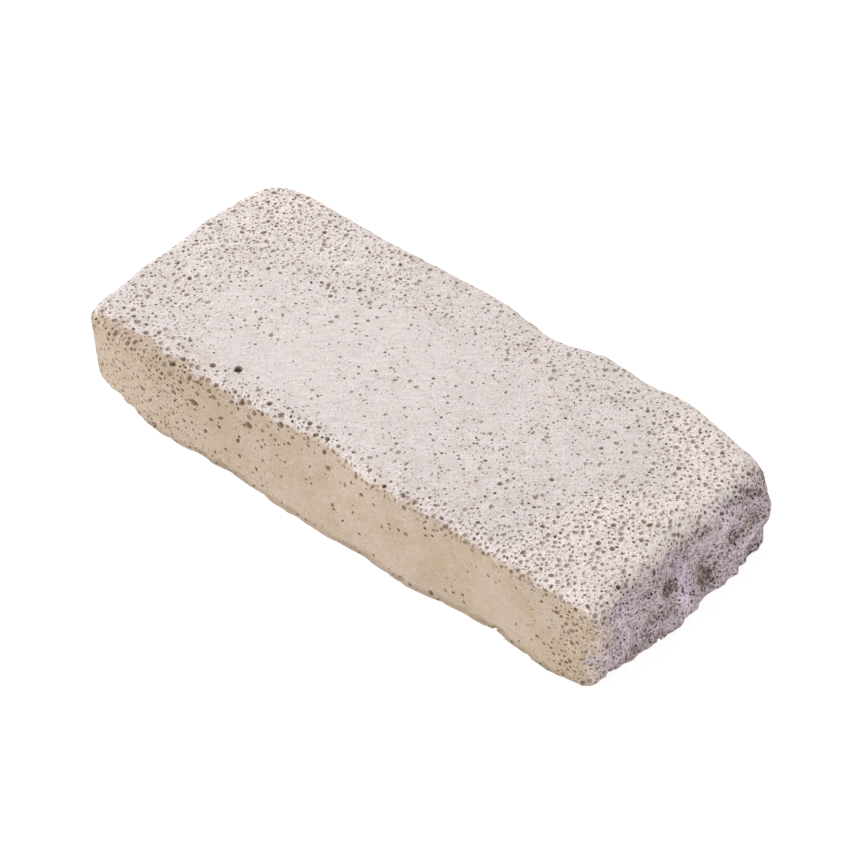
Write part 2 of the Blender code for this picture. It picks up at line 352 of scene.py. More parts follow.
def round_off(points):
    """Round the box: a quarter circle of the wear radius along each rim, and round upright corners."""
    x, y, z = points.T
    to_end = LENGTH / 2 - np.abs(x)
    to_side = WIDTH / 2 - np.abs(y)
    inset = np.minimum(to_end, to_side)
    upper = z > THICKNESS / 2
    depth = np.where(upper, THICKNESS - z, z)

    # The wear radius here, read along both long sides and blended across.
    place = x / LENGTH + 0.5
    across = y / WIDTH + 0.5
    top_rim, foot_rim = (
        between(along(front, place), along(back, place), across) for front, back in (TOP_RIM, FOOT_RIM)
    )
    rim = np.where(upper, top_rim, foot_rim)

    # Points within the radius of a rim move onto the quarter circle.
    inward = rim - inset
    downward = rim - depth
    near_rim = (inward > 0) & (downward > 0)
    shrink = np.where(near_rim, rim / np.hypot(inward, downward).clip(1e-9), 1.0)
    new_inset = np.where(near_rim, rim - inward * shrink, inset)
    new_depth = np.where(near_rim, rim - downward * shrink, depth)

    # Seen from above, points in a corner's square move onto arcs about the corner's centre.
    corner = np.where(y < 0, np.where(x < 0, *CORNER_FRONT), np.where(x < 0, *CORNER_BACK))
    arc_x = corner - to_end
    arc_y = corner - to_side
    in_corner = (arc_x > 0) & (arc_y > 0)
    reach = (corner - new_inset) / np.hypot(arc_x, arc_y).clip(1e-9)
    slide = new_inset - inset
    by_end = to_end < to_side
    from_end = np.where(in_corner, corner - arc_x * reach, to_end + np.where(by_end, slide, 0.0))
    from_side = np.where(in_corner, corner - arc_y * reach, to_side + np.where(by_end, 0.0, slide))

    x = np.copysign(LENGTH / 2 - from_end, x)
    y = np.copysign(WIDTH / 2 - from_side, y)
    z = np.where(upper, THICKNESS - new_depth, new_depth)
    return np.stack([x, y, z], axis=1)


def wear_sides(points):
    """Push each side out or in by its own outline at the foot and at the top."""
    x, y, z = points.T
    place = x / LENGTH + 0.5
    across = y / WIDTH + 0.5
    height = z / THICKNESS
    front, back = (
        between(along(foot, place), along(top, place), height)
        for foot, top in ((FRONT_FOOT, FRONT_TOP), (BACK_FOOT, BACK_TOP))
    )
    left, right = (
        between(along(foot, across), along(top, across), height)
        for foot, top in ((LEFT_FOOT, LEFT_TOP), (RIGHT_FOOT, RIGHT_TOP))
    )
    y = y - front * (1.0 - across) ** 2 + back * across**2
    x = x - left * (1.0 - place) ** 4 + right * place**4
    return np.stack([x, y, z], axis=1)


def break_end(points):
    """Hollow the broken end: each scar is a round dish, and ridges stand where two dishes meet."""
    x, y, z = points.T
    hollow = np.zeros(len(points))
    for scar_across, scar_up, radius, depth in SCARS:
        distance = np.hypot(y + WIDTH / 2 - scar_across, z - scar_up)
        hollow = np.maximum(hollow, depth * (1.0 - (distance / radius) ** 2))
    x = x - hollow * ease((x - BREAK_STARTS) / (LENGTH / 2 - BREAK_STARTS))
    return np.stack([x, y, z], axis=1)


def slab_lattice():
    """The whole numbers of a box's lattice, one row a point, and its outward quads, from six grids."""
    codes, quads, used = [], [], 0
    for axis in range(3):
        u, v = (axis + 1) % 3, (axis + 2) % 3
        for high in (0, 1):
            grid = np.zeros((CELLS[u] + 1, CELLS[v] + 1, 3), int)
            grid[..., u] = np.arange(CELLS[u] + 1)[:, None]
            grid[..., v] = np.arange(CELLS[v] + 1)[None, :]
            grid[..., axis] = high * CELLS[axis]
            at = np.arange(grid[..., 0].size).reshape(grid.shape[:2]) + used
            ring = [at[:-1, :-1], at[1:, :-1], at[1:, 1:], at[:-1, 1:]]
            quads.append(np.stack(ring if high else ring[::-1], axis=-1).reshape(-1, 4))
            codes.append(grid.reshape(-1, 3))
            used += at.size
    codes, shared = np.unique(np.concatenate(codes), axis=0, return_inverse=True)
    return codes, shared.reshape(-1)[np.concatenate(quads)]


def face_normals(points, quads):
    """Half the cross product of each quad's diagonals: its length is the quad's area."""
    corner = points[quads]
    return np.cross(corner[:, 2] - corner[:, 0], corner[:, 3] - corner[:, 1]) / 2


def point_normals(points, quads):
    normals = np.zeros_like(points)
    faces = face_normals(points, quads)
    for corner in quads.T:
        for axis in range(3):
            normals[:, axis] += np.bincount(corner, faces[:, axis], len(points))
    return unit(normals)


def broad_facing(points, skin, quads, size=2.5):
    """The way the uncut skin faces at large, and how much it bends: 0 where flat, about 0.3 on a square edge.

    The vector areas of its quads are shared among the corners of cubes of this size, and each point reads the
    corners about it in the same shares. The bend is 1 less the length of the sum over the sum of the lengths.
    """
    areas = face_normals(skin, quads)
    areas = np.column_stack([areas, np.linalg.norm(areas, axis=1)])
    middles = skin[quads].mean(axis=1)
    low = np.minimum(points.min(axis=0), middles.min(axis=0)) - size
    shape = np.ceil((np.maximum(points.max(axis=0), middles.max(axis=0)) - low) / size).astype(int) + 2
    total = np.zeros((shape.prod(), 4))
    found = np.zeros((len(points), 4))
    for at, is_source in ((middles, True), (points, False)):
        cell = np.floor((at - low) / size).astype(int)
        part = (at - low) / size - cell
        for corner in itertools.product((0, 1), repeat=3):
            share = np.where(corner, part, 1.0 - part).prod(axis=1)
            index = np.ravel_multi_index((cell + corner).T, shape)
            if is_source:
                for axis in range(4):
                    total[:, axis] += np.bincount(index, share * areas[:, axis], len(total))
            else:
                found += share[:, None] * total[index]
    return unit(found[:, :3]), 1.0 - np.linalg.norm(found[:, :3], axis=1) / found[:, 3].clip(1e-9)


def zones(points, skin, quads):
    """How much each place belongs to each side, to the break and its near corner, and to the rims."""
    normals, bend = broad_facing(points, skin, quads)
    ragged = 0.16 * noise(points, 4.2, 31) + 0.16 * noise(points, 1.7, 32)
    across = points[:, 1] - FRESH_ACROSS
    up = FRESH_UP - 2.0 * np.exp(-((points[:, 1] / 9.0) ** 2)) - points[:, 2]
    level = 0.30 - 0.35 * ease((4.0 - points[:, 2]) / 3.0)
    end = ease((normals[:, 0] + ragged - level) / 0.40) * ease((points[:, 0] - 55.0) / 10.0)
    beyond = ease(across / 11.0 + 0.5 + 2.0 * ragged)
    below = ease(up / 6.0 + 0.5 + 2.0 * ragged)
    top = ease((normals[:, 2] + 0.8 * ragged - 0.25) / 0.5)
    front = ease((-normals[:, 1] - 0.35) / 0.5)
    return {
        "top": np.maximum(top, end * (1 - below)),
        "front": np.maximum(front, end * below * (1 - beyond)),
        "corner": end * below * (1 - beyond),
        "back": ease((normals[:, 1] - 0.35) / 0.5),
        "left": ease((-normals[:, 0] - 0.35) / 0.5),
        "broken": end * beyond * below,
        "under": ease((-normals[:, 2] - 0.35) / 0.5),
        "rim": ease(bend / 0.20),
    }


def soften(points, quads, share, rounds):
    """Round the edges off: each point moves by its share towards its neighbours' middle, round by round."""
    neighbour = np.roll(quads, -1, axis=1).ravel()
    count = np.bincount(quads.ravel(), minlength=len(points))[:, None]
    for _ in range(rounds):
        total = [np.bincount(quads.ravel(), points[neighbour, axis], len(points)) for axis in range(3)]
        points = points + share[:, None] * (np.stack(total, axis=1) / count - points)
    return points


def break_hollows(points):
    """Hollows with sharp ridges between them: the sizes of noises of three scales, added up."""
    return sum(share * np.abs(noise(points, size, seed)) for share, size, seed in BREAK_NOISE)


def blotches(points, table, sign=0):
    """Round blotches on the break, added up: each fades from its middle as a bell curve."""
    total = np.zeros(len(points))
    for across, up, half_across, half_up, strength in table:
        if strength * sign < 0:
            continue
        away = ((points[:, 1] - across) / half_across) ** 2 + ((points[:, 2] - up) / half_up) ** 2
        total += strength * np.exp(-away)
    return total


def slab_skin(sizes):
    """The slab's skin in millimetres: the worn box, swelling, crumbled at its rims, ridged at its break."""
    codes, quads = slab_lattice()
    share = 2.0 * codes / np.array(CELLS) - 1.0
    share = share + CROWDING / math.pi * np.sin(math.pi * share)
    form = break_end(wear_sides(round_off(share * HALF + np.array([0.0, 0.0, THICKNESS / 2]))))
    low, high = (np.array(corner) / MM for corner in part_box(NODE))
    form += np.array(CENTRING)

    # The rim of the break is rounded most at its shoulder, and its foot is left as it is.
    near_break = 0.6 * ease((form[:, 0] - 62.0) / 7.0) * ease((form[:, 2] - 2.0) / 4.0)
    shoulder = 0.25 + 0.75 * ease((form[:, 2] - 14.0) / 6.0)
    form = soften(form, quads, near_break * shoulder, 12)
    normals = point_normals(form, quads)
    zone = zones(form, form, quads)
    crumbs = np.maximum(noise(form, 2.6, 11), 0.0) + 1.3 * np.maximum(noise(form, 6.0, 12) - 0.25, 0.0) - 0.3
    hollows = break_hollows(form)
    relief = sizes.swell / MM * (noise(form, 12.0, 16) + 0.35 * noise(form, 4.0, 17) - 0.7)
    relief -= 0.30 * zone["rim"]
    foot = ease((6.0 - form[:, 2]) / 4.0)
    relief -= sizes.crumble / MM * (1.4 + 0.8 * foot) * crumbs * zone["rim"]
    relief -= sizes.ridges / MM * (hollows - 0.45) * zone["broken"]
    relief -= blotches(form, BREAK_SCARS) * ease((form[:, 0] - 66.0) / 5.0)
    relief += (0.12 + 0.16 * zone["broken"] + 0.14 * foot) * noise(form, 1.9, 18)
    skin = form + normals * relief[:, None]

    # The underside bears the stone, so it is rubbed flat.
    lift = ease((form[:, 2] - 0.6) / 2.5)
    skin[:, 2] = form[:, 2] * (1 - lift) + skin[:, 2] * lift
    skin[:, 2] = skin[:, 2].clip(low[2], high[2])
    return skin, quads


def from_white_edge(points):
    """How far in from the edge of the rubbed white a place is, across the slab."""
    return points[:, 1] - along(WHITE_STARTS, points[:, 0] / LENGTH + 0.5)


def froth_reach(x, y):
    """How far into the thick froth of the top a place is, in millimetres along the slab."""
    return x - FROTH_STARTS - FROTH_LATER * np.exp(-(((y - CALM_LINE) / 9.0) ** 2))


def froth_density(points, zone):
    """Shallow dishes to a square millimetre: packed towards the break and the rims, rare between.

    Each zone's number is a sum of eased steps along the axes, and the zones are blended by their shares.
    """
    x, y, z = points.T
    top = (
        0.015
        + 0.05 * ease((x - 18) / 20)
        + 1.15 * ease(froth_reach(x, y) / 15)
        + (0.25 + 0.35 * ease((x - 10) / 30)) * ease((-y - 25) / 4)
        + 0.20 * ease((y - 15) / 9)
        + 0.34 * ease((-x - 20) / 14) * ease((y - 6) / 8)
        + 0.32 * ease((-x - 50) / 12)
    )
    front = 0.01 + 0.10 * ease((-x - 44) / 14) + 0.38 * ease((x - 63) / 6) + 0.32 * ease((z - 20) / 2.5)
    return (
        zone["top"] * top.clip(0.0, 1.25)
        + zone["front"] * front
        + zone["back"] * (0.06 + 0.25 * ease((z - 18) / 4))
        + zone["left"] * (0.08 + 0.20 * ease((z - 18) / 4))
        + zone["broken"] * (0.10 + 0.35 * ease((z - 17.0) / 4.0))
        + zone["under"] * 0.04
    )


def pit_density(points, zone):
    """Small dark pits to a square millimetre: thick in the hollows of the break, few in its clean patches."""
    x, y, z = points.T
    calm = blotches(points, BREAK_STAINS, 1).clip(0.0, 1.0)
    lull = np.exp(-(((x - 46.0) / 13.0) ** 2) - ((y - CALM_LINE) / 10.0) ** 2)
    top = (
        0.060
        + 0.12 * ease((x - 5) / 25)
        + 0.08 * ease((y - 8) / 10)
        + 0.12 * ease((-x - 15) / 14) * ease((y - 2) / 8)
        + 0.16 * ease((-y - 21) / 6)
        + 0.07 * ease((-x - 42) / 12)
        + 0.45 * ease((x - 66) / 6)
    )
    front = (
        0.006
        + 0.20 * ease((-x - 34) / 14)
        + 0.07 * ease((-x - 4) / 15)
        + 0.24 * ease((x - 60) / 8)
        + 0.60 * zone["corner"]
        + 0.22 * ease((z - 19.5) / 3)
        + 0.15 * ease((3 - z) / 3)
    )
    return (
        zone["top"] * (top * (1.0 - 0.65 * lull) + 0.15 * ease(froth_reach(x, y) / 15))
        + zone["front"] * front
        + zone["back"] * 0.12
        + zone["left"] * 0.18
        + zone["broken"] * (1.15 - 0.9 * calm + 1.6 * blotches(points, BREAK_SCARS, 1))
        + zone["under"] * 0.05
    )


def hole_density(points, zone):
    """Large holes to a square millimetre, mostly along the rims and in the break."""
    x, _, z = points.T
    strip = np.exp(-(((from_white_edge(points) - 1.5) / 2.5) ** 2)) * ease((16.0 - x) / 25.0)
    high = ease((z - 16.0) / 4.0)
    foot = zone["rim"] * ease((6.0 - z) / 4.0)
    rims = zone["rim"] * (1 - zone["under"])
    whole = 0.0005 + 0.005 * rims + 0.008 * foot + 0.20 * strip * (1 - zone["under"]) * high
    return whole + 0.008 * zone["broken"]


def placed_pits(skin, quads):
    """The listed pits: each is dropped onto the skin, from above or from before the front."""
    above = [(x, y, AWAY, r, d) for x, y, r, d in TOP_PITS]
    before = [(x, -AWAY, z, FRONT_WIDER * r, d) for x, z, r, d in FRONT_PITS]
    fixed = np.array(above + before)
    aims = [(0.0, 0.0, -1.0)] * len(above) + [(0.0, 1.0, 0.0)] * len(before)
    tree = BVHTree.FromPolygons(skin.tolist(), quads.tolist())
    found = [tree.ray_cast(Vector(start), Vector(aim)) for start, aim in zip(fixed[:, :3], aims)]
    radius = fixed[:, 3]
    return {
        "place": np.array([hit[0][:] for hit in found]),
        "axis": np.array([hit[1][:] for hit in found]),
        "radius": radius,
        "depth": fixed[:, 4],
        "batch": np.arange(len(found)) % 3,
        "stretch": np.full(len(found), 1.1),
        # How much painted shade darkens the pit's bottom: more for small ones.
        "dark": np.where(radius < 0.5, 0.9, 0.3),
    }


def scatter_pores(skin, quads, sizes):
    """Pores in three batches: the listed pits, then chance ones from the largest kind to the smallest.

    Chance pores fall by area times density. In its own batch a pore keeps clear of the others, so that one
    cut serves them all. Pores of different batches may break into each other a little, as bubbles do.
    """
    random = np.random.default_rng(sizes.seed)
    normals = point_normals(skin, quads)
    kept = placed_pits(skin, quads)

    triangles = np.concatenate([quads[:, [0, 1, 2]], quads[:, [0, 2, 3]]])
    corner = skin[triangles]
    area = np.linalg.norm(np.cross(corner[:, 1] - corner[:, 0], corner[:, 2] - corner[:, 0]), axis=1) / 2
    middle = corner.mean(axis=1)
    zone = zones(middle, skin, quads)
    patchy = (1.0 + 0.8 * noise(middle, 9.0, 21) + 0.5 * noise(middle, 4.0, 22)).clip(0.1)

    kinds = (
        ("holes", hole_density(middle, zone), sizes.hole_radius, 0.20, 0.2, (0.6, 1.1)),
        ("dishes", froth_density(middle, zone) * sizes.froth, sizes.dish_radius, 0.28, 0.08, (0.70, 1.15)),
        ("pits", pit_density(middle, zone) * sizes.pits, sizes.pit_radius, 0.22, 0.75, (0.8, 1.3)),
    )
    for name, density, radius, spread, deep_share, shallow in kinds:
        weight = area * density * patchy
        chance = np.cumsum(weight) / weight.sum()
        wanted = int(weight.sum())
        got = 0
        for batch in (0, 1, 2, 0, 1, 2):
            count = min(wanted - got, AT_ONCE)
            if count <= 0:
                break
            r = np.sort(radius / MM * np.exp(random.normal(0.0, spread, count)).clip(0.6, 1.6))[::-1]
            pick = np.searchsorted(chance, random.random(count))
            if name == "pits":
                r = r * (1.0 + 0.2 * (zone["front"] * ease((-middle[:, 0] - 10.0) / 25.0))[pick])
            mix = random.random((count, 2))
            mix = np.where(mix.sum(axis=1, keepdims=True) > 1, 1 - mix, mix)
            share = np.column_stack([1 - mix.sum(axis=1), mix])
            p = (skin[triangles[pick]] * share[:, :, None]).sum(axis=1)
            n = unit((normals[triangles[pick]] * share[:, :, None]).sum(axis=1))
            is_deep = random.random(count) < deep_share
            depth = r * np.where(is_deep, random.uniform(1.3, 2.1, count), random.uniform(*shallow, count))
            depth = np.minimum(depth, DEEPEST)
            broken = zone["broken"][pick]
            stretch = random.uniform(1.0, 1.25 + 0.2 * broken)
            new = {"place": p, "axis": n, "radius": r, "depth": depth, "batch": np.full(count, batch)}
            # A deep pore gets painted shade at its bottom, most when small.
            new.update(stretch=stretch, dark=is_deep * np.where(r < 0.45, 1.0, 0.2))

            # Each is tested against those already kept, and against the earlier ones of its own round.
            all_of = {key: np.concatenate([kept[key], new[key]]) for key in kept}
            rank = len(kept["radius"]) + np.arange(count)
            earlier = np.arange(len(all_of["radius"]))[None] < rank[:, None]
            closeness = np.where(all_of["batch"] == batch, *APART)[None]
            reach = closeness * (r[:, None] + all_of["radius"][None])
            apart = np.linalg.norm(p[:, None] - all_of["place"][None], axis=2)
            sunk = all_of["place"] - all_of["axis"] * all_of["depth"][:, None] * 0.6
            under = np.linalg.norm(sunk[-count:, None] - sunk[None], axis=2)
            clash = ((apart < reach) | (under < APART_BELOW * reach)) & earlier
            keep = ~clash.any(axis=1)
            kept = {key: np.concatenate([kept[key], new[key][keep]]) for key in kept}
            got += int(keep.sum())
    return kept


def pore_cutters(pores, chosen, sides, rings, random):
    """Closed cutters: a ring above the skin, rings below it and a pole at each end, of uneven radius.

    Each ring is (height, radius): its height below the skin as a share of the depth, or LIP above it.
    """
    place, axis = pores["place"][chosen], pores["axis"][chosen]
    radius, depth = pores["radius"][chosen], pores["depth"][chosen]
    count = len(place)
    axis = unit(axis + random.uniform(-0.22, 0.22, (count, 3)))
    helper = np.where(np.abs(axis[:, 2:]) < 0.9, [[0.0, 0.0, 1.0]], [[1.0, 0.0, 0.0]])
    across = unit(np.cross(axis, helper))
    beside = np.cross(axis, across)
    turn = random.uniform(0, 2 * math.pi, count)[:, None]
    cos, sin = np.cos(turn), np.sin(turn)
    across, beside = across * cos + beside * sin, beside * cos - across * sin
    stretch = pores["stretch"][chosen][:, None, None]
    angle = np.arange(sides) * 2 * math.pi / sides
    uneven = random.uniform(0.82, 1.18, (count, 1, sides))
    share = np.array([r for _, r in rings])[None, :, None] * uneven * radius[:, None, None]
    along_across = (share * np.cos(angle) * stretch)[..., None] * across[:, None, None]
    along_beside = (share * np.sin(angle) / stretch)[..., None] * beside[:, None, None]
    height = np.stack([np.full(count, LIP) if h > 0 else h * depth for h, _ in rings], axis=1)
    raised = place[:, None, None] + along_across + along_beside
    ring_points = (raised + (height[:, :, None, None] * axis[:, None, None])).reshape(count, -1, 3)
    cap = place[:, None] + LIP * axis[:, None]
    pole = place[:, None] - depth[:, None, None] * axis[:, None]
    points = np.concatenate([ring_points, cap, pole], axis=1)

    here = np.arange(sides)
    after = (here + 1) % sides
    last = (len(rings) - 1) * sides
    faces = [np.stack([here, after, np.full(sides, len(rings) * sides)], axis=1)]
    for k in range(len(rings) - 1):
        upper, lower = k * sides, (k + 1) * sides
        faces.append(np.stack([upper + here, lower + here, lower + after], axis=1))
        faces.append(np.stack([upper + here, lower + after, upper + after], axis=1))
    faces.append(np.stack([last + after, last + here, np.full(sides, len(rings) * sides + 1)], axis=1))
    faces = np.concatenate(faces)
    each = points.shape[1]
    faces = (faces[None] + (np.arange(count) * each)[:, None, None]).reshape(-1, 3)
    return points.reshape(-1, 3), faces, np.repeat(chosen, each)


def new_object(name, points, faces):
    mesh = bpy.data.meshes.new(name)
    mesh.from_pydata(points.tolist(), [], faces.tolist())
    mesh.update()
    thing = bpy.data.objects.new(name, mesh)
    bpy.context.scene.collection.objects.link(thing)
    return thing


def mark(mesh, name, values, kind="FLOAT"):
    layer = mesh.attributes.new(name, kind, "POINT")
    layer.data.foreach_set("value", values.astype(np.int32 if kind == "INT" else np.float32))


def read(items, name, width, kind=np.float32):
    values = np.empty(len(items) * width, kind)
    items.foreach_get(name, values)
    return values.reshape(-1, width) if width > 1 else values


def cut_pores(stone, pores, random):
    """Cut the pores out of the skin, batch by batch. Larger pores have rounder cutters."""
    mark(stone.data, "pore", np.full(len(stone.data.vertices), -1), "INT")
    for batch in range(3):
        radius = np.where(pores["batch"] == batch, pores["radius"], 0.0)
        kinds = (
            (radius > 0.60, 9, ((1, 1.0), (-0.30, 1.0), (-0.75, 0.66))),
            ((radius <= 0.60) & (radius > 0.38), 7, ((1, 1.0), (-0.50, 0.84))),
            ((radius <= 0.38) & (radius > 0.0), 5, ((1, 1.0), (-0.50, 0.80))),
        )
        points, faces, owners, used = [], [], [], 0
        for chosen, sides, rings in kinds:
            p, f, o = pore_cutters(pores, np.flatnonzero(chosen), sides, rings, random)
            points.append(p)
            faces.append(f + used)
            owners.append(o)
            used += len(p)
        cutter = new_object("pore cutters", np.concatenate(points) * MM, np.concatenate(faces))
        mark(cutter.data, "pore", np.concatenate(owners), "INT")
        cut = stone.modifiers.new("pores", "BOOLEAN")
        cut.operation = "DIFFERENCE"
        cut.solver = "MANIFOLD"
        cut.object = cutter
        before = len(stone.data.polygons)
        apply_modifier(stone, cut)
        bpy.data.objects.remove(cutter)
        if len(stone.data.polygons) <= before:
            raise RuntimeError("the pores were not cut")


def apply_modifier(thing, modifier):
    """Replace the object's mesh by what its one modifier makes of it."""
    mesh = bpy.data.meshes.new_from_object(thing.evaluated_get(bpy.context.evaluated_depsgraph_get()))
    thing.modifiers.remove(modifier)
    old, thing.data = thing.data, mesh
    bpy.data.meshes.remove(old)
    mesh.name = thing.name


def finish_skin(stone, skin, quads, pores, random):
    """Write what the material reads: depth in millimetres, a tone for each pore, and the zones."""
    mesh = stone.data
    points = read(mesh.vertices, "co", 3) / MM
    owner = read(mesh.attributes["pore"].data, "value", 1, np.int32)
    own = owner.clip(0)
    apart = np.linalg.norm(points - pores["place"][own], axis=1)
    inside = (owner >= 0) & (apart < np.hypot(1.45 * pores["radius"][own], pores["depth"][own]) + 0.05)
    below = ((pores["place"][own] - points) * pores["axis"][own]).sum(axis=1)
    depth = np.where(inside, below.clip(0.0), 0.0)
    tones = random.random(len(pores["radius"]))
    rusting = (pores["radius"] > 0.45) & (pores["place"][:, 1] < -24.0) & (pores["place"][:, 0] < 30.0)
    tones = np.where(rusting & (tones < 0.4), 0.91, tones)
    tone = np.where(inside, tones[own], 0.5)

    zone = zones(points, skin, quads)
    mark(mesh, "pore_depth", depth)
    mark(mesh, "pore_tone", tone)
    # How much painted shade darkens the bottom of each pore.
    mark(mesh, "pore_dark", np.where(inside, pores["dark"][own], 0.0))
    ragged = 0.5 * noise(points, 3.0, 41) + 0.3 * noise(points, 1.4, 42)
    spill = np.exp(-(((points[:, 0] - SPILL_MIDDLE) / SPILL_HALF) ** 2))
    spill = spill * ease((points[:, 2] - SPILL_FOOT) / 2.5 + 0.6 * ragged)
    rubbed = np.maximum(zone["top"], spill) * ease(from_white_edge(points) / 4.0 + 0.5 + ragged)
    mark(mesh, "rubbed", rubbed + 0.60 * zone["corner"])
    # Painted shade along the foot: darker towards the bottom, less underneath and on the break.
    foot = ease((2.6 - points[:, 2]) / 1.8) * (1 - 0.6 * zone["under"]) * (1 - 0.5 * zone["broken"])
    mark(mesh, "foot", foot)
    mark(mesh, "broken", zone["broken"])
    froth = froth_density(points, zone)
    mark(mesh, "froth", (froth / 0.5).clip(0.0, 1.0))
    # Where the cream shows: partly the froth's paler dust, partly painted highlight on its crests.
    mark(mesh, "cream_and_highlight", ease((froth - 0.10) / 1.1))
    mark(mesh, "porous", ((froth + 1.5 * pit_density(points, zone)) / 0.7).clip(0.0, 1.0))
    # Where the break is hollow, for the painted shade that the material puts there.
    hollows = 0.7 * break_hollows(points) + 0.7 * blotches(points, BREAK_SCARS, 1)
    mark(mesh, "hollow", hollows.clip(0.0, 1.0) * zone["broken"])
    mark(mesh, "stain", blotches(points, BREAK_STAINS) * zone["broken"])
    sunk = MAP_LEAN * (depth / pores["depth"][own]).clip(0.0, 1.0)
    inward = (pores["place"][own] - points) * sunk[:, None]
    lean = mesh.attributes.new("lean", "FLOAT_VECTOR", "POINT")
    lean.data.foreach_set("vector", inward.astype(np.float32).ravel())
    mesh.attributes.remove(mesh.attributes["pore"])
    mesh.calc_loop_triangles()
    thin = stone.modifiers.new("thin", "DECIMATE")
    thin.ratio = min(1.0, MOST_TRIANGLES / len(mesh.loop_triangles))
    apply_modifier(stone, thin)
    mesh = stone.data
    mesh.polygons.foreach_set("use_smooth", np.ones(len(mesh.polygons), bool))
    mesh.set_sharp_from_angle(angle=math.radians(40))
    lay_map(mesh, skin, quads)


def lay_map(mesh, skin, quads):
    """Lay each face on the bake's map, flat on the side that the uncut skin about it faces."""
    facing = broad_facing(read(mesh.polygons, "center", 3) / MM, skin, quads)[0]
    side = np.argmax([sign * facing[:, axis] for axis, sign, *_ in MAP_SIDES], axis=0)
    side = np.repeat(side, read(mesh.polygons, "loop_total", 1, np.int32))
    at = read(mesh.vertices, "co", 3) / MM + read(mesh.attributes["lean"].data, "vector", 3)
    at = at[read(mesh.loops, "vertex_index", 1, np.int32)]
    across, up = (np.choose(side, [at[:, row[k]] + row[k + 2] for row in MAP_SIDES]) for k in (2, 3))
    layer = mesh.uv_layers.new(name="OFBake")
    layer.active_render = True
    layer.data.foreach_set("uv", (np.column_stack([across, up]) / MAP_SIZE).astype(np.float32).ravel())
    mesh.attributes.remove(mesh.attributes["lean"])


def add_node(tree, kind, inputs, output=0, **settings):
    """Add a node and return one of its outputs. Inputs go by order or by name, each a value or a socket."""
    node = tree.nodes.new(kind)
    for name, value in settings.items():
        setattr(node, name, value)
    for key, value in inputs.items() if isinstance(inputs, dict) else enumerate(inputs):
        if isinstance(value, bpy.types.NodeSocket):
            tree.links.new(value, node.inputs[key])
        else:
            node.inputs[key].default_value = value
    return node if output is None else node.outputs[output]


# What finish_skin writes and the material reads.
MARKS = (
    "pore_depth", "pore_tone", "pore_dark", "rubbed", "broken", "foot", "froth", "cream_and_highlight", "porous", "hollow",
    "stain",
)


